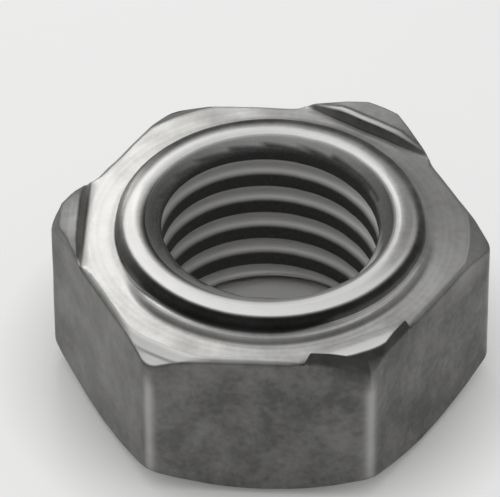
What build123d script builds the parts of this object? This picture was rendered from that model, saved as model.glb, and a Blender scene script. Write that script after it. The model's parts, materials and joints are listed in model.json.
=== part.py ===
from build123d import *
import math
import os

# Hexagon weld nut, M12, one forged and tapped steel piece.
# Frame: origin at the centre of the seat face, +Z along the thread axis towards the pilot collar.
# The two flats that cross the Y axis are square to it, so a corner lies on each side of the X axis.

# ---- driving dimensions, mm and degrees ----
ACROSS_FLATS = 19.0
BODY_HEIGHT = 8.80             # seat face to weld face
CORNER_ROUND = 1.00            # rounding of the six upright edges
SEAT_DIAMETER = 18.05          # circle left flat on the seat face
SEAT_CHAMFER_ANGLE = 33.0      # from the seat plane
WELD_FACE_CIRCLE = 19.55       # where the chamfer of the plain corners starts
WELD_CHAMFER_ANGLE = 30.0
EDGE_BREAK = 0.22              # broken edge between weld face and flats

PILOT_DIAMETER = 15.20
PILOT_HEIGHT = 1.00            # weld face to the top of the collar
PILOT_ROUND = 0.42
LEDGE_DIAMETER = 16.56         # low step round the foot of the collar
LEDGE_HEIGHT = 0.36
LEDGE_BREAK = 0.10

THREAD_MAJOR = 12.0
THREAD_MINOR = 10.70           # across the blunt crests
THREAD_PITCH = 1.75
THREAD_ANGLE = 60.0
THREAD_START = 14.0            # turn of the helix about Z, degrees
TOP_SINK_DIAMETER = 12.40
TOP_SINK_ANGLE = 130.0         # shallow, both angles are of the whole cone
SEAT_SINK_DIAMETER = 12.80
SEAT_SINK_ANGLE = 90.0

LUG_FOOT = 9.15                # thread axis to the foot of a projection's inner wall
LUG_CREST = 9.28               # thread axis to the inner edge of its crest
LUG_CREST_WIDTH = 0.26
LUG_HEIGHT = 0.66              # crest above the weld face
LUG_TOP_FALL = 14.0            # slope of its top down to the corner
LUG_DRAFT = 9.0                # lean of its outer faces
LUG_CORNER_RADIUS = 10.41      # corner slope at the height of the weld face
LUG_CORNER_ANGLE = 65.0        # steepness of the corner slope
LUG_CORNERS = (60, 180, 300)   # alternate corners

# ---- sizes that follow ----
HALF_FLATS = ACROSS_FLATS / 2
CORNER_RADIUS = HALF_FLATS / math.cos(math.radians(30))
TOP = BODY_HEIGHT + PILOT_HEIGHT
BORE_RADIUS = THREAD_MINOR / 2
REACH = ACROSS_FLATS           # past every outline


def rise(run, angle):
    return run * math.tan(math.radians(angle))


def spun(*points):
    """Solid of revolution about Z from (radius, height) points."""
    return revolve(make_face(Plane.XZ * Polyline(*points, close=True)), Axis.Z)


def hexagon():
    outline = RegularPolygon(CORNER_RADIUS, 6)
    return fillet(outline.vertices(), CORNER_ROUND)


def seat_cone():
    """Everything inside the chamfer that runs round the seat face."""
    seat = SEAT_DIAMETER / 2
    return spun((0, 0), (seat, 0), (REACH, rise(REACH - seat, SEAT_CHAMFER_ANGLE)), (REACH, REACH),
                (0, REACH))


def weld_cone():
    """Everything inside the chamfer of the plain corners."""
    start = WELD_FACE_CIRCLE / 2
    drop = rise(REACH - start, WELD_CHAMFER_ANGLE)
    return spun((0, -REACH), (REACH, -REACH), (REACH, BODY_HEIGHT - drop), (start, BODY_HEIGHT),
                (0, BODY_HEIGHT))


def body():
    straight = BODY_HEIGHT - EDGE_BREAK
    prism = extrude(hexagon(), straight)
    prism += Pos(0, 0, straight) * extrude(hexagon(), EDGE_BREAK, taper=45)
    return prism & seat_cone() & weld_cone()


def lug_corner_cone():
    """Everything inside the steep slope at the corner of a projection."""
    slope = math.tan(math.radians(LUG_CORNER_ANGLE))
    low, high = BODY_HEIGHT - 4, BODY_HEIGHT + 2
    return spun((0, 0), (LUG_CORNER_RADIUS + 4 / slope, 0), (LUG_CORNER_RADIUS + 4 / slope, low),
                (LUG_CORNER_RADIUS - 2 / slope, high), (0, high))


def lug_section():
    """Section across a corner, x out from the thread axis, y up."""
    crest = BODY_HEIGHT + LUG_HEIGHT
    outer = LUG_CREST + LUG_CREST_WIDTH
    low = crest - rise(CORNER_RADIUS - outer, LUG_TOP_FALL)
    points = ((LUG_FOOT, 0), (LUG_FOOT, BODY_HEIGHT), (LUG_CREST, crest), (outer, crest),
              (CORNER_RADIUS, low), (CORNER_RADIUS, 0))
    section = make_face(Plane.XZ * Polyline(*points, close=True))
    return extrude(section, ACROSS_FLATS / 2, both=True)


def lugs():
    leaning = extrude(hexagon(), BODY_HEIGHT)
    leaning += Pos(0, 0, BODY_HEIGHT) * extrude(hexagon(), PILOT_HEIGHT, taper=LUG_DRAFT)
    leaning = leaning & seat_cone() & lug_corner_cone()
    return [leaning & (Rot(0, 0, angle) * lug_section()) for angle in LUG_CORNERS]


def collar():
    pilot, ledge = PILOT_DIAMETER / 2, LEDGE_DIAMETER / 2
    step = BODY_HEIGHT + LEDGE_HEIGHT
    side = Polyline((0, BODY_HEIGHT / 2), (ledge, BODY_HEIGHT / 2), (ledge, step - LEDGE_BREAK),
                    (ledge - LEDGE_BREAK, step), (pilot, step), (pilot, TOP - PILOT_ROUND))
    shoulder = RadiusArc(side @ 1, (pilot - PILOT_ROUND, TOP), -PILOT_ROUND)
    back = Polyline(shoulder @ 1, (0, TOP), (0, BODY_HEIGHT / 2))
    return revolve(make_face(Plane.XZ * (side + shoulder + back)), Axis.Z)


def bore():
    """Plain hole at the crests of the thread, with its two countersinks."""
    top, seat = TOP_SINK_DIAMETER / 2, SEAT_SINK_DIAMETER / 2
    top_flare = math.tan(math.radians(TOP_SINK_ANGLE / 2))
    seat_flare = math.tan(math.radians(SEAT_SINK_ANGLE / 2))
    return spun((0, -1), (seat + seat_flare, -1), (BORE_RADIUS, (seat - BORE_RADIUS) / seat_flare),
                (BORE_RADIUS, TOP - (top - BORE_RADIUS) / top_flare), (top + top_flare, TOP + 1),
                (0, TOP + 1))


def groove():
    """Helical groove between the crests, running out through both countersinks."""
    inner, outer = BORE_RADIUS - 0.1, THREAD_MAJOR / 2
    root = THREAD_PITCH / 16
    mouth = root + (outer - BORE_RADIUS) * math.tan(math.radians(THREAD_ANGLE / 2))
    start = -THREAD_PITCH / 2
    turns = TOP + THREAD_PITCH
    path = Helix(THREAD_PITCH, turns, BORE_RADIUS)
    profile = Polyline((inner, -mouth), (BORE_RADIUS, -mouth), (outer, -root), (outer, root),
                       (BORE_RADIUS, mouth), (inner, mouth), close=True)
    cutter = sweep(make_face(Plane.XZ * profile), path, is_frenet=True)
    return Pos(0, 0, start) * Rot(0, 0, THREAD_START) * cutter


def weld_nut():
    nut = body() + lugs() + collar()
    nut -= bore()
    nut -= groove()
    return nut


os.makedirs("parts", exist_ok=True)
part = weld_nut()
part.label = "weld_nut"
export_step(part, "parts/weld_nut.step")
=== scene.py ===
import json
import math
from collections import namedtuple

import bmesh
import bpy
import numpy as np
from mathutils import Matrix, Vector, noise


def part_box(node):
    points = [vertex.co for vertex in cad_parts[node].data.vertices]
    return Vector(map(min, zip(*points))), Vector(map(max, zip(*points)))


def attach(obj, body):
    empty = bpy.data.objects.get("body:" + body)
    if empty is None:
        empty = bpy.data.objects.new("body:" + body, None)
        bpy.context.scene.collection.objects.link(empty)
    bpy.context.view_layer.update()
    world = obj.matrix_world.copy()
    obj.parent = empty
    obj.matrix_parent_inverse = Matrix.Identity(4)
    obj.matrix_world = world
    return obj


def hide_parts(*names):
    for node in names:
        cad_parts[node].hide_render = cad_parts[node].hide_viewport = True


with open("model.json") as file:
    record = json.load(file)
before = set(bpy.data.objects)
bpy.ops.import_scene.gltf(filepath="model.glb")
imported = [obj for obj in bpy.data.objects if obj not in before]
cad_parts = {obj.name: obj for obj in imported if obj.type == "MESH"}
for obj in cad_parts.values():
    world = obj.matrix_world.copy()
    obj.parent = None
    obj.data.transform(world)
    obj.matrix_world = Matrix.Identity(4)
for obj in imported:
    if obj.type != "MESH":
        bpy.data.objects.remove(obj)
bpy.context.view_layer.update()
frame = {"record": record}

# ---------------------------------------------------------------------------
# The nut's own sizes, in metres. What the frame states is read from it.
# ---------------------------------------------------------------------------
MM = 0.001
NODE = "weld_nut"
LOW, HIGH = (Vector(corner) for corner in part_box(NODE))
MOUNTS = {mount["name"]: mount for mount in frame["record"]["mounts"]}

HALF_FLATS = (HIGH.y - LOW.y) / 2
TOP = HIGH.z
FACE = MOUNTS["weld_face"]["pos_m"][2]
PILOT = MOUNTS["pilot"]["dims"]["r_mm"] * MM
CREST = MOUNTS["thread"]["dims"]["r_mm"] * MM

CORNER_ROUND = 1.00 * MM
EDGE_BREAK = 0.22 * MM
SEAT_CIRCLE = 9.025 * MM
SEAT_SLOPE = math.tan(math.radians(33))
WELD_CIRCLE = 9.775 * MM
WELD_SLOPE = math.tan(math.radians(30))

LEDGE = 8.28 * MM
LEDGE_TOP = FACE + 0.36 * MM
LEDGE_HALF = 0.10 * MM                        # half the width of its slope
LEDGE_IN = 0.05 * MM                          # how far it is drawn in: all round, towards the right,
LEDGE_IN_RIGHT = 0.24 * MM                    # and where it runs out on the left
LEDGE_IN_LEFT = 0.35 * MM
LEDGE_TURN = math.radians(15)                 # it stands clearest this far round from the front
LEDGE_ENDS = (0.24, 0.62)                     # cosines of the angle from there, as it runs out
LEDGE_SUNK = 0.9                              # share of its height lost where it has run out
TOP_SINK = 6.20 * MM
CROWN = 6.65 * MM                             # highest line of the collar's rounded top
CROWN_EDGE = 7.25 * MM
LIP = TOP - 0.05 * MM
SHOULDER = TOP - 0.07 * MM
SHOULDER_EDGE = TOP - 0.11 * MM
TOP_SINK_SLOPE = math.tan(math.radians(25))
SEAT_SINK = 6.40 * MM
SEAT_SINK_DEPTH = (SEAT_SINK - CREST) / MM    # mm; at 90 degrees it is as deep as its radius changes

PITCH = 1.75 * MM
ROOT = 6.0 * MM
THREAD_TURN = math.radians(14)
FLANK_SLOPE = math.tan(math.radians(30))

# Corners by number, anticlockwise from +X.
RIGHT, REAR_RIGHT, REAR_LEFT, LEFT, FRONT_LEFT, FRONT_RIGHT = range(6)

# What the die has made of each projection, by its corner's number, and the light and shade painted on
# it. In mm: foot and head of its inner wall, rise of its crest outwards, reach of its corner past
# LUG_CONE, drop behind the crest, and width of the painted shade at its foot. Then how late its ends fall
# away, the slope of its top, how dark its sides are painted as shade, and how bright its crest and top are
# painted.
Lug = namedtuple("Lug", "foot head lean corner step dirt ends fall soot crest_shine top_shine")
LUGS = {REAR_RIGHT: Lug(8.80, 8.97, 0.07, 0.24, 0.11, 0.30, 3.5, 0.00, 0.00, 1.00, 0.70),
        LEFT: Lug(9.14, 9.45, 0.00, 0.26, 0.00, 0.11, 3.0, 0.18, 0.00, 0.30, 0.36),
        FRONT_RIGHT: Lug(9.30, 9.36, 0.00, 0.15, 0.00, 0.30, 80.0, 0.24, 0.50, 0.45, 1.00)}
CREST_WIDTH = 0.26                            # mm
LUG_CREST_WIDTH = CREST_WIDTH * MM
LUG_HEIGHT = 0.66 * MM
LUG_STEP_WIDTH = 0.16 * MM
LUG_LEAN = math.tan(math.radians(9))
LUG_CONE = 10.41 * MM
LUG_CONE_SLOPE = math.tan(math.radians(65))
HALVINGS = 40                                 # in the search for a projection's rim

SIXTH = math.radians(60)
POINT = HALF_FLATS / math.cos(SIXTH / 2)      # a sharp corner's distance from the axis


# ---------------------------------------------------------------------------
# Outline and sections
# ---------------------------------------------------------------------------
def from_corner(angle):
    """Nearest corner's number and the turn away from it."""
    number = round(angle / SIXTH)
    return number % 6, angle - number * SIXTH


def outline(turn, inset=0.0):
    """Rounded hexagon, as distance from the axis at a turn from the nearest corner."""
    half, point = HALF_FLATS - inset, POINT - inset / math.cos(SIXTH / 2)
    centre = point - CORNER_ROUND / math.cos(SIXTH / 2)
    end = math.atan2(CORNER_ROUND / 2, centre + CORNER_ROUND * math.cos(SIXTH / 2))
    if abs(turn) < end:
        return centre * math.cos(turn) + math.sqrt(CORNER_ROUND ** 2 - (centre * math.sin(turn)) ** 2)
    return half / math.cos(SIXTH / 2 - abs(turn))


def lug_end(number):
    """Turn from its corner at which a projection's inner wall runs out through the flat, or 0 with none."""
    if number not in LUGS:
        return 0.0
    foot = LUGS[number].foot * MM
    return math.atan((HALF_FLATS / foot - math.cos(SIXTH / 2)) / math.sin(SIXTH / 2))


def lug_top(radius, turn, number):
    """Height of a projection's inner wall and top at a point of the face."""
    lug = LUGS[number]
    reach, foot, head = radius * math.cos(turn), lug.foot * MM, lug.head * MM
    full = 1 - min(abs(turn) / lug_end(number), 1.0) ** lug.ends
    if reach <= foot:
        return FACE
    if reach <= head:
        return FACE + (LUG_HEIGHT - lug.lean * MM) * full * (reach - foot) / (head - foot)
    if reach <= head + LUG_CREST_WIDTH:
        return FACE + (LUG_HEIGHT - lug.lean * MM * (1 - (reach - head) / LUG_CREST_WIDTH)) * full
    past = reach - head - LUG_CREST_WIDTH
    step = min(past / LUG_STEP_WIDTH, 1.0) * lug.step * MM
    return FACE + (LUG_HEIGHT - step - max(0.0, past - LUG_STEP_WIDTH) * lug.fall) * full


def lug_side(turn, height, number):
    """Outer bound of a projection at a height."""
    lean = max(0.0, height - FACE) * LUG_LEAN
    cone = LUG_CONE + LUGS[number].corner * MM - (height - FACE) / LUG_CONE_SLOPE
    return min(outline(turn, lean), cone)


def lug_rim(turn, number):
    """Distance from the axis at which the top of a projection meets its outer side."""
    inner, outer = LEDGE, POINT
    for _ in range(HALVINGS):
        middle = (inner + outer) / 2
        if middle < lug_side(turn, lug_top(middle, turn, number), number):
            inner = middle
        else:
            outer = middle
    return inner


def lug_keys(turn, number):
    """Section through a projection: (radius, height, softness) in order outwards and down."""
    rim = lug_rim(turn, number)
    lug = LUGS[number]
    outer = lug.head * MM + LUG_CREST_WIDTH
    keys = []
    lines = ((lug.foot * MM, 0.05), (lug.head * MM, 0.06), (outer, 0.07), (outer + LUG_STEP_WIDTH, 0.07))
    for reach, soft in lines:
        radius = min(reach / math.cos(turn), rim)
        keys.append((radius, lug_top(radius, turn, number), soft))
    keys.append((rim, lug_top(rim, turn, number), 0.07))
    waist = lug_side(turn, FACE, number)
    keys.append((waist, min(FACE, keys[-1][1] - 0.001 * MM), 0.05))
    full = outline(turn)
    drop = max(EDGE_BREAK * 0.4, (full - waist) * LUG_CONE_SLOPE)
    keys.append((full, FACE - drop, 0.06))
    return keys


def plain_keys(turn, end):
    """Section with no projection, or past the end of one: from there its rows spread inwards."""
    full = outline(turn)
    spread = min((abs(turn) - end) / (SIXTH / 2 - end) / 0.8, 1.0) if end else 1.0
    broken = EDGE_BREAK * (0.3 + 0.7 * min(3 * spread, 1.0))
    rim = min(full - broken, WELD_CIRCLE)
    drop = max(broken, (full - WELD_CIRCLE) * WELD_SLOPE)
    keys = [(rim - (rim - LEDGE) * share * spread, FACE, 0.05) for share in (0.70, 0.45, 0.25, 0.10)]
    keys.append((rim, FACE, 0.07))
    keys.append(((rim + full) / 2, FACE - drop / 2, 0.07))
    keys.append((full, FACE - drop, 0.08))
    return keys


def step_up(value, low, high):
    share = np.clip((value - low) / (high - low), 0, 1)
    return share * share * (3 - 2 * share)


def near(value, centre, width):
    return np.exp(-((value - centre) / width) ** 2)


def washed_out(angle):
    """0 at the front, where the ledge stands clear, rising to 1 where it has run out."""
    return 1 - step_up(-np.sin(angle - LEDGE_TURN), *LEDGE_ENDS)


def ledge_radius(angle):
    right, left = np.maximum(0, np.cos(angle)) ** 2, step_up(-np.cos(angle), 0, 0.4)
    return LEDGE - LEDGE_IN - LEDGE_IN_RIGHT * right - LEDGE_IN_LEFT * left * washed_out(angle)


def outside_keys(angle):
    """Outer section from the top countersink round to the seat one: (radius, height, softness in mm)."""
    number, turn = from_corner(angle)
    full, end = outline(turn), lug_end(number)
    ledge = ledge_radius(angle)
    step = FACE + (LEDGE_TOP - FACE) * (1 - LEDGE_SUNK * washed_out(angle))
    keys = [(TOP_SINK, LIP, 0.24), (CROWN, TOP, 0.15), (CROWN_EDGE, SHOULDER, 0.15),
            (PILOT, SHOULDER_EDGE, 0.32), (PILOT, step, 0.07), (ledge - LEDGE_HALF, step, 0.09),
            (ledge + LEDGE_HALF, FACE, 0.12)]
    keys += lug_keys(turn, number) if abs(turn) < end else plain_keys(turn, end)
    keys.append((full, (full - SEAT_CIRCLE) * SEAT_SLOPE, 0.10))
    keys.append((SEAT_CIRCLE, 0.0, 0.14))
    keys.append((SEAT_SINK, 0.0, 0.10))
    return keys


def thread_radius(turns):
    """Thread form over one pitch: crest, flank, root, flank."""
    from_root = np.abs(turns % 1.0 - 0.5) * PITCH - PITCH / 16
    return np.clip(ROOT - from_root / FLANK_SLOPE, CREST, ROOT)


def inside_section(angle):
    """Bore section upwards from the seat: the thread, opened out by the two countersinks."""
    height = np.linspace(0, LIP, BORE_POINTS)
    turns = (height - PITCH * (angle - THREAD_TURN) / math.tau) / PITCH
    radius = thread_radius(turns)
    radius = np.maximum(radius, TOP_SINK - (LIP - height) / TOP_SINK_SLOPE)
    radius = np.maximum(radius, SEAT_SINK - height)
    return np.stack([radius, height], axis=1)


# ---------------------------------------------------------------------------
# Rounding: a section is walked in even steps and averaged over its softness
# ---------------------------------------------------------------------------
STEP = 0.02 * MM
WINDOW = 40                      # steps to each side that are averaged
LEAST_SOFT = 0.012               # mm
NEAR = (0.0, 0.6, 1.4, 2.4)      # rows close to an edge, in its softness
NEAR_SHARE = 0.46                # the most of a stretch that the close rows at one end may take
BORE_POINTS = 1200
THREAD_ROWS = 20                 # rows to one pitch
THREAD_SOFT = 0.045
MOUTH_SOFT, MOUTH_POINTS = 0.10, 8   # at both ends of the bore
MOUTH_ROW = 0.1 * MM
LOW_ROW, HIGH_ROW = 0.14 * MM, LIP - 0.06 * MM
# Rows between the close ones, for each stretch of the outer section.
MIDDLES = (1, 0, 0, 0, 0, 0, 3, 0, 0, 0, 0, 0, 0, 4, 1, 1)


def walk(points):
    return np.concatenate([[0.0], np.cumsum(np.hypot(*np.diff(points, axis=0).T))])


def averaged(points, softness):
    """Closed section with its edges rounded: the length along it and the new points."""
    along = walk(points)
    count = int(along[-1] / STEP)
    even = np.arange(count) * along[-1] / count
    place = np.stack([np.interp(even, along, points[:, axis]) for axis in (0, 1)], axis=1)
    width = np.maximum(np.interp(even, along, softness), LEAST_SOFT) * MM
    total, weight = np.zeros_like(place), np.zeros(count)
    for shift in range(-WINDOW, WINDOW + 1):
        share = np.exp(-0.5 * (shift * STEP / width) ** 2)
        total += share[:, None] * np.roll(place, -shift, axis=0)
        weight += share
    return even, total / weight[:, None]


def row_places(start, end, soft_start, soft_end, middles):
    """Places of the rows from one edge of the section up to the next one."""
    room = NEAR_SHARE * (end - start) / NEAR[-1]
    first = [start + step * min(soft_start * MM, room) for step in NEAR]
    last = [end - step * min(soft_end * MM, room) for step in NEAR[:0:-1]]
    gap = last[0] - first[-1]
    return first + [first[-1] + gap * (k + 1) / (middles + 1) for k in range(middles)] + last


def column(angle):
    """The rows of one upright section, outside then bore: radius, height, how far the skin faces up."""
    keys = outside_keys(angle)
    outside = np.array([key[:2] for key in keys])
    inside = inside_section(angle)
    inner_soft = np.full(len(inside), THREAD_SOFT)
    ends = np.minimum(np.arange(len(inside)), np.arange(len(inside))[::-1]) < MOUTH_POINTS
    inner_soft[ends] = MOUTH_SOFT
    points = np.concatenate([outside, inside[1:]])
    softness = np.concatenate([[key[2] for key in keys], inner_soft[1:]])
    along = walk(points)
    even, smooth = averaged(points, softness)
    run = np.roll(smooth, -1, axis=0) - np.roll(smooth, 1, axis=0)
    smooth = np.column_stack([smooth, run[:, 0] / np.hypot(run[:, 0], run[:, 1])])
    places = []
    for k in range(len(keys) - 1):
        places += row_places(along[k], along[k + 1], keys[k][2], keys[k + 1][2], MIDDLES[k])
    base = len(keys) - 1
    rows = int((TOP / PITCH + 2) * THREAD_ROWS)
    heights = (np.arange(rows) / THREAD_ROWS - 1 + (angle - THREAD_TURN) / math.tau) * PITCH
    heights = np.clip(heights, LOW_ROW, HIGH_ROW)
    places += [along[base] + step * MOUTH_ROW for step in (0.0, 0.6)]
    places += list(np.interp(heights, inside[:, 1], along[base:]))
    places += [along[-1] - MOUTH_ROW]
    places = np.array(places)
    return np.stack([np.interp(places, even, part, period=along[-1]) for part in smooth.T], axis=1)


# Turns of the columns, degrees: from a corner, then from the end of its projection. A plain corner has
# its second group about PLAIN_END.
CLOSE_TURNS = (0, 0.5, 1.0, 1.5, 2.0, 2.5, 3.0, 3.8, 4.8, 6.0, 7.4, 9.0, 10.6)
END_TURNS = (-3.6, -2.6, -1.9, -1.4, -1.0, -0.6, -0.3, -0.08, 0.08, 0.5, 1.4)
PLAIN_END = 19.0


def column_angles():
    """Turns of the upright sections: close together at the corners and at the ends of the projections."""
    angles = []
    for number in range(6):
        end = math.degrees(lug_end(number)) or PLAIN_END
        last = end + END_TURNS[-1]
        half = list(CLOSE_TURNS) + [end + part for part in END_TURNS]
        half += [last + (30 - last) * k / 4 for k in (1, 2, 3)]
        around = [-turn for turn in half[:0:-1]] + half + [30]
        angles += [number * SIXTH + math.radians(turn) for turn in around]
    return angles


# ---------------------------------------------------------------------------
# Finish of each point of the skin. Three marks, 0 to 1: bright where machined or pressed and where highlights
# are painted, dark where shade is painted and where two corner slopes are darker, worn at rubbed edges and
# lighter where light is painted. Here lengths are in mm, and sectors and off_corner in degrees.
# ---------------------------------------------------------------------------
# Sectors round the nut in which a mark differs: the middle and how far it spreads.
SECTORS = {"front": (270, 22.9), "front_left": (225, 20.1), "lip_left": (205, 43.0), "ring_left": (178, 28.6),
           "wall_left": (172, 24.1), "ring_right": (0, 24.1), "sink_right": (5.7, 28.6),
           "face_right": (22.9, 43.0), "rear_right": (65.9, 48.7), "flats_left": (209.9, 28.6)}

# Painted shade on the collar's wall by the angle round it: dark at the front, almost none at 20 degrees
# and on the left.
WALL_SHADE = ((0, 0.32), (20, 0.05), (40, 0.42), (80, 0.42), (140, 0.34), (160, 0.05), (180, 0.05),
             (200, 0.28), (220, 0.70), (245, 0.87), (295, 0.87), (320, 0.74), (340, 0.66), (360, 0.32))

# Strength of each mark where it is full.
FACE_SHINE = 0.80
WALL_LEFT_LIGHT = 0.75                # painted light on the left of the collar's wall
LEDGE_SHADE = 0.34                # painted shade on the ledge's top, at the front
LEDGE_FOOT_SHADE = 0.52
BEHIND_COLLAR_SHADOW = 0.50
FACE_SHADE = 0.60                 # painted shade on the face, towards the right
THREAD_CREST_SHADE = 0.92
LUG_FOOT_SHADE = 0.62
NOTCH_SHADOW = 0.90
BEHIND_CREST_SHADE = 5.0          # painted shade, for each mm of the drop behind the crest
SLOPE_LINE_DARKENING = 0.50
REAR_SLOPE_DARKENING = 0.50
RIM_WEAR = 0.35
LEFT_FLAT_LIGHT = 0.30
LUG_WALL_WEAR, LEFT_LUG_WEAR = 0.55, 0.25
RIGHT_SLOPE_HIGHLIGHT = 0.35


def facing_side(angle):
    """Angle from the +X side, -pi to pi."""
    return (angle + math.pi) % math.tau - math.pi


class Skin:
    """Every point of the skin: its place from the nut's own lines, the way it faces and its sectors."""

    def __init__(self, radius, height, upward, turn, number, angle):
        self.radius, self.number, self.angle = radius / MM, number, angle
        self.above_seat, self.above_face, self.above_top = ((height - level) / MM for level in (0, FACE, TOP))
        self.past_crest, self.past_sink, self.past_pilot = (
            (radius - line) / MM for line in (CREST, TOP_SINK, PILOT))
        self.past_ledge, self.past_flat, self.past_weld = (
            (radius - line) / MM for line in (LEDGE, HALF_FLATS, WELD_CIRCLE))
        self.facing = step_up(upward, 0.45, 0.85)
        self.before_corner, self.off_corner = turn < 0, np.degrees(np.abs(turn))
        self.on_lug = np.isin(number, list(LUGS)).astype(float)
        # A plain corner takes the rear right projection's values, and on_lug keeps them out of its marks.
        every_lug = np.array([LUGS.get(corner, LUGS[REAR_RIGHT]) for corner in range(6)])
        self.lug = Lug(*np.moveaxis(every_lug[number], -1, 0))
        reach = self.radius * np.cos(turn)
        self.past_foot, self.past_head = reach - self.lug.foot, reach - self.lug.head
        self.shares = {name: near(facing_side(angle - math.radians(middle)), 0, math.radians(spread))
                       for name, (middle, spread) in SECTORS.items()}
        washed = washed_out(angle)
        self.shares.update(back=step_up(np.sin(angle), -0.25, 0.6), washed=washed,
                           front_right=(1 - washed) * step_up(np.cos(angle), 0.1, 0.5),
                           right=np.maximum(0, np.cos(angle)), both_sides=np.cos(angle) ** 2)

    def level(self, everywhere, **changes):
        """A value that holds everywhere, with its change in each named sector added."""
        return everywhere + sum(change * self.shares[name] for name, change in changes.items())


# ---- collar and countersink ----
def past_ring(skin):
    """0 on the ring along the collar's top, 1 past its outer edge."""
    edge = skin.level(-0.43, back=-0.50)
    return step_up(skin.past_pilot, edge, edge + skin.level(0.22, back=0.30))


def past_wall(skin):
    """0 on the collar's wall, 1 past its foot."""
    foot = skin.level(0.10, washed=-0.08, back=-0.37, front_right=-0.16, front_left=-0.08)
    return step_up(skin.past_pilot, foot, foot + skin.level(0.26, washed=-0.18, back=0.32, front_right=-0.12))


def on_wall(skin):
    return past_ring(skin) * (1 - past_wall(skin)) * step_up(skin.above_face, 0.26, 0.34)


def lip_shade(skin):
    """How far painted shade reaches from the countersink over the collar's lip."""
    return skin.level(0.35, lip_left=0.65)


def ring(skin):
    """Machined bright; painted shade dims it at the back, the left, in a band on the right and at the lip."""
    dirt = lip_shade(skin)
    inside = step_up(skin.past_sink, 0.24 * dirt - 0.32, 0.60 * dirt - 0.16)
    unshaded = 1 - 0.09 * np.maximum(skin.shares["back"], 1.9 * skin.shares["ring_left"])
    shade_band = 0.25 + 0.30 * step_up(skin.past_sink, 0.15, 0.40) - 0.30 * step_up(skin.past_sink, 0.70, 0.90)
    right_shade = shade_band * skin.shares["ring_right"]
    return (1 - past_ring(skin)) * step_up(skin.above_top, -0.26, -0.14) * inside * unshaded * (1 - right_shade)


# Painted light: the collar's wall made lighter on its left.
def wall_left_light(skin):
    return WALL_LEFT_LIGHT * skin.shares["wall_left"] * on_wall(skin)


# Painted shade on the collar's wall, darkest at the front.
def wall_shade(skin):
    return on_wall(skin) * np.interp(np.degrees(skin.angle) % 360, *zip(*WALL_SHADE))


def sink_shade(skin):
    """Painted shade in the top countersink, thickest at both sides."""
    dirt = lip_shade(skin)
    inside = 1 - step_up(skin.past_sink, 0.20 * dirt - 0.26, 0.45 * dirt - 0.10)
    foot = skin.level(-0.66, sink_right=-0.20)
    inside = inside * step_up(skin.above_top, foot, foot + 0.20)
    return skin.level(0.55, both_sides=0.31, right=-0.07) * inside


def thread_crest_shade(skin):
    """Painted shade on the thread's crests, and in the mouth above the last of them."""
    mouth = 0.26 * step_up(skin.above_top, -0.56, -0.46)
    above_sink = step_up(skin.above_seat, SEAT_SINK_DEPTH, SEAT_SINK_DEPTH + 0.4)
    return THREAD_CREST_SHADE * (1 - step_up(skin.past_crest, mouth + 0.03, mouth + 0.13)) * above_sink


# ---- weld face and ledge ----
def face(skin):
    turned = 1 - step_up(skin.past_ledge, 0.3, 0.4)
    here = past_wall(skin) * step_up(skin.above_face, -0.6, -0.3)
    return FACE_SHINE * np.maximum(skin.facing, turned) * here


def face_shine(skin):
    return face(skin) * (1 - on_lug_top(skin))


# Painted highlight on the ledge at the front right.
def ledge_highlight(skin):
    return skin.shares["front_right"] * near(skin.past_pilot, 0.20, 0.12) * skin.facing


# Painted highlight along the face's rim at the plain corners.
def face_rim_highlight(skin):
    return near(skin.past_weld, 0, 0.15) * step_up(skin.above_face, -0.2, -0.1) * (1 - skin.on_lug)


# Painted highlight on the slope at the front-left corner.
def front_left_slope_highlight(skin):
    here = (skin.number == FRONT_LEFT) * skin.facing
    return here * step_up(skin.past_weld, -0.1, 0) * step_up(skin.above_face, -0.8, -0.6)


def slope_line(skin):
    """Thin darker line along the middle of the front-left slope."""
    return SLOPE_LINE_DARKENING * front_left_slope_highlight(skin) * near(skin.past_weld, 0.525, 0.07)


# Painted shade on the weld face, darker towards the right.
def face_shade(skin):
    return FACE_SHADE * skin.shares["face_right"] * face(skin)


# Painted shade on the ledge's top at the front, by the collar's wall.
def ledge_shade(skin):
    return LEDGE_SHADE * skin.shares["front"] * (1 - step_up(skin.past_ledge, -0.2, 0)) * past_wall(skin)


def ledge_foot_shade(skin):
    """Line of painted shade where the ledge meets the face, as far round as the ledge stands clear."""
    line = near(skin.radius - ledge_radius(skin.angle) / MM, 0.06, 0.10)
    line = line * (1 - step_up(skin.above_face, 0.24, 0.32)) * step_up(skin.above_face, -1.0, -0.5)
    return LEDGE_FOOT_SHADE * line * skin.level(1, washed=-1) * skin.level(1, right=-0.3)


# Painted shadow of the collar on the face, at the rear right.
def behind_collar_shadow(skin):
    shade_band = near(skin.past_ledge, 0.07, 0.28) * step_up(skin.above_face, -0.5, -0.3)
    return BEHIND_COLLAR_SHADOW * skin.shares["rear_right"] * shade_band


# ---- projections ----
def on_lug_top(skin):
    """0 at the foot of a projection's inner wall, 1 from its crest outwards."""
    up_wall = step_up(skin.past_foot, 0, skin.lug.head - skin.lug.foot)
    return skin.on_lug * step_up(skin.above_face, 0.02, 0.15) * up_wall


# Painted highlight along a projection's crest.
def lug_crest_highlight(skin):
    crest = near(skin.past_head, CREST_WIDTH / 2, 0.28) * (1 - step_up(skin.off_corner, 9, 18))
    return skin.facing * on_lug_top(skin) * crest * skin.lug.crest_shine


# Pressed bright top of a projection, with painted highlight and shade set for each projection.
def lug_top_highlight(skin):
    return skin.facing * on_lug_top(skin) * skin.lug.top_shine * (0.6 + 0.4 * step_up(skin.past_head, 0, 0.7))


def lug_foot_shade(skin):
    """Painted shade in the angle between the face and a projection's inner wall."""
    line = near(np.minimum(skin.past_foot, 0), 0, skin.lug.dirt) * (1 - step_up(skin.past_foot, 0, 0.06))
    line = line * step_up(skin.above_face, -0.2, -0.1) * (1 - step_up(skin.off_corner, 17.2, 24.1))
    return LUG_FOOT_SHADE * skin.on_lug * line


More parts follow.
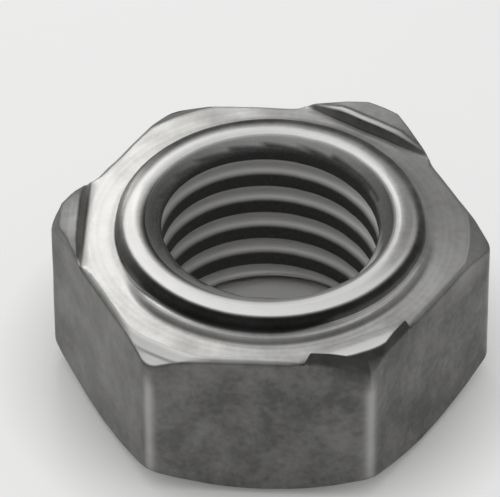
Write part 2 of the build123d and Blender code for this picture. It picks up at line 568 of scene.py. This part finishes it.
# The side of the front-right projection where its painted shade hangs lowest.
def shaded_side(skin):
    return (skin.number == FRONT_RIGHT) * skin.before_corner


def lug_side_shade(skin):
    """Painted shade on a projection's outer sides, hanging lower on the shaded side the nearer it is to the
    corner.
    """
    hangs = 0.08 + 0.72 * shaded_side(skin) * np.maximum(0, 1 - skin.off_corner / 12)
    side = (1 - skin.facing) * step_up(skin.above_face, -hangs - 0.2, -hangs + 0.2)
    return skin.on_lug * side * skin.lug.soot * step_up(skin.past_ledge, 0.2, 0.3)


def notch_shadow(skin):
    """Painted shadow: a dark notch at the end of the front-right projection."""
    notch = near(skin.off_corner, 17.6, 1.0) * step_up(skin.above_face, -0.18, -0.04)
    return NOTCH_SHADOW * shaded_side(skin) * notch * step_up(skin.past_flat, 0.1, 0.2)


# Painted shade just behind a projection's crest.
def behind_crest_shade(skin):
    line = near(skin.past_head, CREST_WIDTH + 0.14, 0.11)
    return BEHIND_CREST_SHADE * skin.lug.step * line * on_lug_top(skin)


def lug_wall_wear(skin):
    strength = LUG_WALL_WEAR + LEFT_LUG_WEAR * (skin.number == LEFT)
    wall = step_up(skin.past_foot, -0.03, 0.03) * (1 - step_up(skin.past_head, -0.08, -0.02))
    return strength * skin.on_lug * (1 - skin.facing) * wall * step_up(skin.above_face, 0, 0.1)


# ---- corners and flats ----
# Darker slope at the rear-left corner.
def rear_slope_darkening(skin):
    slope = step_up(skin.past_weld, 0, 0.15) * step_up(skin.above_face, -0.8, -0.5)
    return REAR_SLOPE_DARKENING * (skin.number == REAR_LEFT) * slope


# Painted highlight on the slope at the right corner and along its rim.
def right_slope_highlight(skin):
    slope = step_up(skin.past_weld, 0, 0.1) + near(skin.past_weld, 0, 0.16)
    return RIGHT_SLOPE_HIGHLIGHT * (skin.number == RIGHT) * slope * step_up(skin.above_face, -0.8, -0.5)


def upright_wear(skin):
    """Rubbed upright edges, clear of both ends."""
    edge = near(np.radians(skin.off_corner) * skin.radius, 0, 0.30) * step_up(skin.past_flat, 0.5, 0.8)
    return edge * step_up(skin.above_seat, 0.9, 1.6) * (1 - step_up(skin.above_face, -1.3, -0.7))


def rim_wear(skin):
    """Rubbed edge between the face and the flats, but not under the middle of a projection."""
    edge = near(skin.above_face, -0.12, 0.10) * step_up(skin.past_flat, -0.2, -0.05)
    return RIM_WEAR * edge * (1 - skin.on_lug * (skin.off_corner < 16))


def left_flat_light(skin):
    """Painted light: the flat at the front left, lighter than the rest; it ends at the left corner."""
    flat = (facing_side(skin.angle) < 0) * step_up(skin.past_flat, -0.1, 0) * (1 - skin.facing)
    return LEFT_FLAT_LIGHT * skin.shares["flats_left"] * flat


def finishes(skin):
    """The three marks at each point: of the marks of one kind that meet there, the strongest counts."""
    bright = (ring, wall_left_light, face_shine, ledge_highlight, face_rim_highlight, front_left_slope_highlight, lug_top_highlight,
              lug_crest_highlight)
    dark = (wall_shade, sink_shade, thread_crest_shade, ledge_shade, ledge_foot_shade, behind_collar_shadow,
            face_shade, slope_line, lug_foot_shade, lug_side_shade, notch_shadow, behind_crest_shade,
            rear_slope_darkening)
    worn = (upright_wear, rim_wear, left_flat_light, lug_wall_wear, right_slope_highlight)
    return [np.maximum.reduce([mark(skin) for mark in marks]) for marks in (bright, dark, worn)]


# ---------------------------------------------------------------------------
# Unevenness and mesh
# ---------------------------------------------------------------------------
FORGED_RISE = 0.035 * MM
FORGED_FROM, FORGED_FULL = LEDGE, LEDGE + 0.6 * MM      # the turned part inside is left even
WAVE, RIPPLE, SWELL = (2.4 * MM, 3), (0.9 * MM, 17), (1.7 * MM, 41)       # size and seed of each unevenness
SEAT_BAND = 0.2 * MM             # this low the skin only rises, so that the seat stays on the floor
SEAT_SHARE = 0.3
MERGE, DISSOLVE = 0.002 * MM, 0.001 * MM


def uneven(place, scale, seed):
    """Soft rise and fall of a forged skin, about -1 to 1."""
    return noise.noise(Vector(place) / scale + Vector((seed, 0.0, 0.0)))


def nut_mesh():
    """Quads: columns round the axis and rows along the section. The thread's rows climb a pitch a turn."""
    angles = column_angles()
    section = np.array([column(angle) for angle in angles])
    radius, height, upward = (section[..., axis] for axis in range(3))
    number, turn = (np.array(part)[:, None] for part in zip(*(from_corner(angle) for angle in angles)))
    skin = Skin(radius, height, upward, turn, number, np.array(angles)[:, None])
    marks = [mark.ravel() for mark in finishes(skin)]

    forged = step_up(radius, FORGED_FROM, FORGED_FULL)
    cos, sin = np.cos(angles)[:, None], np.sin(angles)[:, None]
    verts = np.stack([radius * cos, radius * sin, height], axis=-1).reshape(-1, 3)
    for k, share in enumerate(forged.ravel()):
        if share > 0:
            place = verts[k]
            out = FORGED_RISE * share * (uneven(place, *WAVE) + 0.5 * uneven(place, *RIPPLE))
            up = FORGED_RISE * share * uneven(place, *SWELL)
            reach = math.hypot(place[0], place[1])
            place[:2] *= 1 - abs(out) / reach
            place[2] += up if place[2] > SEAT_BAND else abs(up) * SEAT_SHARE

    columns, rows = radius.shape
    last_thread = rows - 2
    first_thread = rows - 1 - int((TOP / PITCH + 2) * THREAD_ROWS)

    def wrapped(row):
        """Row of the first column that a row of the last one meets."""
        return min(row + THREAD_ROWS, last_thread) if first_thread <= row <= last_thread else row

    faces = []
    for k in range(columns):
        follow = (k + 1) % columns
        here, there = k * rows, follow * rows
        for row in range(rows):
            below = (row + 1) % rows
            other, other_below = (wrapped(row), wrapped(below)) if follow == 0 else (row, below)
            faces.append((here + row, here + below, there + other_below, there + other))
    return verts, faces, marks


def build_nut():
    verts, faces, marks = nut_mesh()
    shape = bmesh.new()
    layers = [shape.verts.layers.float.new(name) for name in ("bright", "dark", "worn")]
    made = []
    for k, place in enumerate(verts):
        vert = shape.verts.new(place)
        for layer, mark in zip(layers, marks):
            vert[layer] = mark[k]
        made.append(vert)
    for quad in faces:
        corners = list(dict.fromkeys(quad))
        if len(corners) > 2:
            shape.faces.new([made[k] for k in corners])
    bmesh.ops.remove_doubles(shape, verts=shape.verts, dist=MERGE)
    bmesh.ops.dissolve_degenerate(shape, edges=shape.edges, dist=DISSOLVE)
    bmesh.ops.recalc_face_normals(shape, faces=shape.faces)
    mesh = bpy.data.meshes.new("nut_steel")
    shape.to_mesh(mesh)
    shape.free()
    mesh.polygons.foreach_set("use_smooth", [True] * len(mesh.polygons))
    nut = bpy.data.objects.new("nut_steel", mesh)
    bpy.context.scene.collection.objects.link(nut)
    return nut


# ---------------------------------------------------------------------------
# Shader maths written as expressions
# ---------------------------------------------------------------------------
class Wire:
    """An output socket that can stand in a sum: each operator adds its Math node."""

    def __init__(self, paint, socket):
        self.paint, self.socket = paint, socket

    def maths(self, operation, first, second):
        return self.paint.node("ShaderNodeMath", {"operation": operation}, {0: first, 1: second})

    def __add__(self, other):
        return self.maths("ADD", self, other)

    def __radd__(self, other):
        return self.maths("ADD", other, self)

    def __sub__(self, other):
        return self.maths("SUBTRACT", self, other)

    def __rsub__(self, other):
        return self.maths("SUBTRACT", other, self)

    def __mul__(self, other):
        return self.maths("MULTIPLY", self, other)

    def __rmul__(self, other):
        return self.maths("MULTIPLY", other, self)


class Paint:
    """Node tree of one material, or of the surround."""

    def __init__(self, owner):
        owner.use_nodes = True
        self.owner, self.tree = owner, owner.node_tree
        self.tree.nodes.clear()

    def node(self, kind, settings=None, sockets=None, output=0):
        """Adds a node: its settings first, then the values or links of its sockets. Gives one output."""
        made = self.tree.nodes.new(kind)
        for name, value in (settings or {}).items():
            if name == "stops":
                for stop, (place, level) in zip(made.color_ramp.elements, value):
                    stop.position, stop.color = place, (level, level, level, 1)
            else:
                setattr(made, name, value)
        for name, value in (sockets or {}).items():
            if isinstance(value, Wire):
                self.tree.links.new(value.socket, made.inputs[name])
            else:
                made.inputs[name].default_value = value
        return None if output is None else Wire(self, made.outputs[output])

    def finished(self, surface):
        kind = "World" if isinstance(self.owner, bpy.types.World) else "Material"
        self.node("ShaderNodeOutput" + kind, None, {"Surface": surface}, output=None)
        return self.owner

    def mark(self, name):
        return self.node("ShaderNodeAttribute", {"attribute_name": name}, output="Fac")

    def grain(self, place, scale, detail=2.0, roughness=0.55):
        return self.node("ShaderNodeTexNoise", {"noise_dimensions": "3D"},
                         {"Vector": place, "Scale": scale, "Detail": detail, "Roughness": roughness})

    def ramp(self, value, low, high):
        """0 to 1 while the value goes from low to high."""
        return self.node("ShaderNodeValToRGB", {"stops": ((low, 0.0), (high, 1.0))}, {"Fac": value})

    def blend(self, share, first, second):
        return self.node("ShaderNodeMix", {"data_type": "RGBA"}, {0: share, 6: first, 7: second}, output=2)


# ---------------------------------------------------------------------------
# Steel
# ---------------------------------------------------------------------------
SCALE_STEEL = (0.120, 0.119, 0.116, 1)       # forged flats
SCALE_LIGHT = (0.230, 0.228, 0.222, 1)       # the same where it is rubbed thin
BRIGHT_STEEL = (0.64, 0.635, 0.62, 1)        # pressed and machined faces, and painted highlights and light
BRIGHT_STAIN = (0.48, 0.475, 0.46, 1)
POLISHED_AND_HIGHLIGHT = (0.90, 0.895, 0.88, 1)      # the polished ring, and painted highlights on crests, tops, rims and slopes
SHADE_BLACK = (0.016, 0.016, 0.016, 1)              # painted shade in hollows, creases, on shaded sides and on the thread's crests
# Worn edges, and also the painted light on the front-left flat and the right slope.
WORN_AND_LIT_STEEL = (0.46, 0.455, 0.44, 1)
BORE_STEEL = (0.84, 0.835, 0.82, 1)
BORE_RADIUS_EDGE = 6.15 * MM

# Scales of the grain, to a metre.
BLOTCH, FINE, GRIT, TURNED = 420, 2600, 7000, 3200
BUMP, BUMP_DEPTH = 0.35, 0.012 * MM
METAL = 0.85


def steel():
    paint = Paint(bpy.data.materials.new("steel"))
    place = paint.node("ShaderNodeTexCoord", output="Object")
    bright, dark, worn = (paint.mark(name) for name in ("bright", "dark", "worn"))
    across = paint.node("ShaderNodeVectorMath", {"operation": "MULTIPLY"}, {0: place, 1: (1, 1, 0)})
    radius = paint.node("ShaderNodeVectorMath", {"operation": "LENGTH"}, {0: across}, output="Value")

    blotch = paint.grain(place, BLOTCH, 4.0, 0.6)
    fine = paint.grain(place, FINE, 3.0, 0.6)
    grit = paint.grain(place, GRIT, 2.0, 0.5)
    turned = paint.grain(paint.node("ShaderNodeCombineXYZ", None, {"X": radius}), TURNED, 2.0, 0.6)

    forged = paint.blend(paint.ramp(blotch * 0.65 + fine * 0.35, 0.40, 0.62), SCALE_STEEL, SCALE_LIGHT)
    stain = paint.ramp(blotch * 0.40 + fine * 0.30 + turned * 0.30, 0.38, 0.60)
    bright_colour = paint.blend(stain, BRIGHT_STAIN, BRIGHT_STEEL)
    outside = paint.node("ShaderNodeMath", {"operation": "GREATER_THAN"}, {0: radius, 1: BORE_RADIUS_EDGE})
    colour = paint.blend(1 - outside, forged, BORE_STEEL)
    colour = paint.blend(paint.ramp(bright, 0.0, 0.8), colour, bright_colour)
    polished_and_highlight = paint.ramp(bright, 0.82, 1.0)
    colour = paint.blend(polished_and_highlight * (0.14 + 1.6 * turned), colour, POLISHED_AND_HIGHLIGHT)
    colour = paint.blend(worn * (0.6 + 0.5 * blotch), colour, WORN_AND_LIT_STEEL)
    colour = paint.blend(dark * (0.74 + 0.14 * grit + 0.22 * turned), colour, SHADE_BLACK)

    roughness = 0.52 - 0.15 * bright + 0.15 * polished_and_highlight - 0.10 * worn + 0.10 * (fine - 0.5) + 0.40 * dark
    relief = fine * 0.6 + grit * 0.4
    normal = paint.node("ShaderNodeBump", None, {"Strength": BUMP, "Distance": BUMP_DEPTH, "Height": relief})
    surface = paint.node("ShaderNodeBsdfPrincipled", None,
                         {"Base Color": colour, "Roughness": roughness, "Normal": normal, "Metallic": METAL})
    return paint.finished(surface)


nut = build_nut()
nut.data.materials.append(steel())
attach(nut, "root")
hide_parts(NODE)


# ---------------------------------------------------------------------------
# Floor, lights, sky and camera
# ---------------------------------------------------------------------------
FLOOR_REACH = 0.8
SKY_SIDE, SKY_TOP = 0.30, 1.20
SKY_RISE = (0.62, 0.97)          # upward part of the direction between which the sky grows light
FLOOR_WHITE = 0.60
FLOOR_COLOUR = (0.93, 0.925, 0.91, 1)
FLOOR_DULL = 0.8
CORNER_SHARE = 0.25              # distances on the floor are counted so that a sharp corner lies here
WHITENS = (0.18, 0.32)           # between these the floor turns white to the eye and in the steel
DIMS = (0.50, 0.80)              # between these it stops being white in the steel

# Lamps, all pointed at one place: place, size and power.
LAMP_TARGET = (-0.004, 0, FACE)
LAMPS = {"window": ((-0.015, 0.044, 0.050), 0.012, 0.0037), "key": ((-0.060, 0.020, 0.060), 0.060, 0.003)}


def floor():
    mesh = bpy.data.meshes.new("floor")
    mesh.from_pydata([(-FLOOR_REACH, -FLOOR_REACH, 0), (FLOOR_REACH, -FLOOR_REACH, 0),
                      (FLOOR_REACH, FLOOR_REACH, 0), (-FLOOR_REACH, FLOOR_REACH, 0)], [], [(0, 1, 2, 3)])
    obj = bpy.data.objects.new("floor", mesh)
    bpy.context.scene.collection.objects.link(obj)
    paint = Paint(bpy.data.materials.new("floor"))
    surface = paint.node("ShaderNodeBsdfPrincipled", None,
                         {"Base Color": FLOOR_COLOUR, "Roughness": FLOOR_DULL})
    white = paint.node("ShaderNodeEmission", None, {"Strength": 1.0})
    seen = paint.node("ShaderNodeLightPath", output="Is Camera Ray")
    mirrored = paint.node("ShaderNodeLightPath", output="Is Glossy Ray")
    place = paint.node("ShaderNodeTexCoord", output="Object")
    away = paint.node("ShaderNodeVectorMath", {"operation": "LENGTH"}, {0: place}, output="Value")
    away = away * (CORNER_SHARE / POINT)
    share = paint.ramp(away, *WHITENS) * (seen + mirrored * (1 - paint.ramp(away, *DIMS)))
    surface = paint.node("ShaderNodeMixShader", None, {0: share * FLOOR_WHITE, 1: surface, 2: white})
    obj.data.materials.append(paint.finished(surface))


def lamp(name, place, size, power):
    data = bpy.data.lights.new(name, "AREA")
    data.shape = "DISK"
    data.size = size
    data.energy = power
    obj = bpy.data.objects.new(name, data)
    obj.location = place
    obj.rotation_euler = (Vector(LAMP_TARGET) - Vector(place)).to_track_quat("-Z", "Y").to_euler()
    obj.visible_camera = False
    bpy.context.scene.collection.objects.link(obj)


def sky():
    """Soft surround: light overhead and dim towards the skyline."""
    world = bpy.data.worlds.new("studio")
    world.use_nodes = True
    paint = Paint(world)
    direction = paint.node("ShaderNodeTexCoord", output="Generated")
    up = paint.node("ShaderNodeSeparateXYZ", None, {0: direction}, output="Z")
    strength = SKY_SIDE + (SKY_TOP - SKY_SIDE) * paint.ramp(up, *SKY_RISE)
    paint.finished(paint.node("ShaderNodeBackground", None, {"Strength": strength}))
    bpy.context.scene.world = world


CAMERA_AZIMUTH = math.radians(3.389)
CAMERA_ELEVATION = math.radians(41.79)
CAMERA_ROLL = math.radians(0.218)
CAMERA_DISTANCE = 0.3009
CAMERA_LENS, CAMERA_SENSOR = 440.75, 36
CAMERA_CLIP = 0.01
CAMERA_SHIFT = (-0.0407, -0.0355)


def camera():
    data = bpy.data.cameras.new("camera")
    data.lens = CAMERA_LENS
    data.sensor_width = CAMERA_SENSOR
    data.shift_x, data.shift_y = CAMERA_SHIFT
    data.clip_start = CAMERA_CLIP
    obj = bpy.data.objects.new("camera", data)
    az, el = CAMERA_AZIMUTH, CAMERA_ELEVATION
    back = Vector((math.sin(az) * math.cos(el), -math.cos(az) * math.cos(el), math.sin(el)))
    right = Vector((math.cos(az), math.sin(az), 0))
    up = back.cross(right)
    c, s = math.cos(CAMERA_ROLL), math.sin(CAMERA_ROLL)
    right, up = right * c - up * s, right * s + up * c
    turn = Matrix((right, up, back)).transposed().to_4x4()
    obj.matrix_world = Matrix.Translation(Vector((0, 0, FACE)) + back * CAMERA_DISTANCE) @ turn
    bpy.context.scene.collection.objects.link(obj)
    bpy.context.scene.camera = obj


floor()
for name, (place, size, power) in LAMPS.items():
    lamp(name, place, size, power)
sky()
camera()
bpy.context.scene.view_settings.view_transform = "Standard"
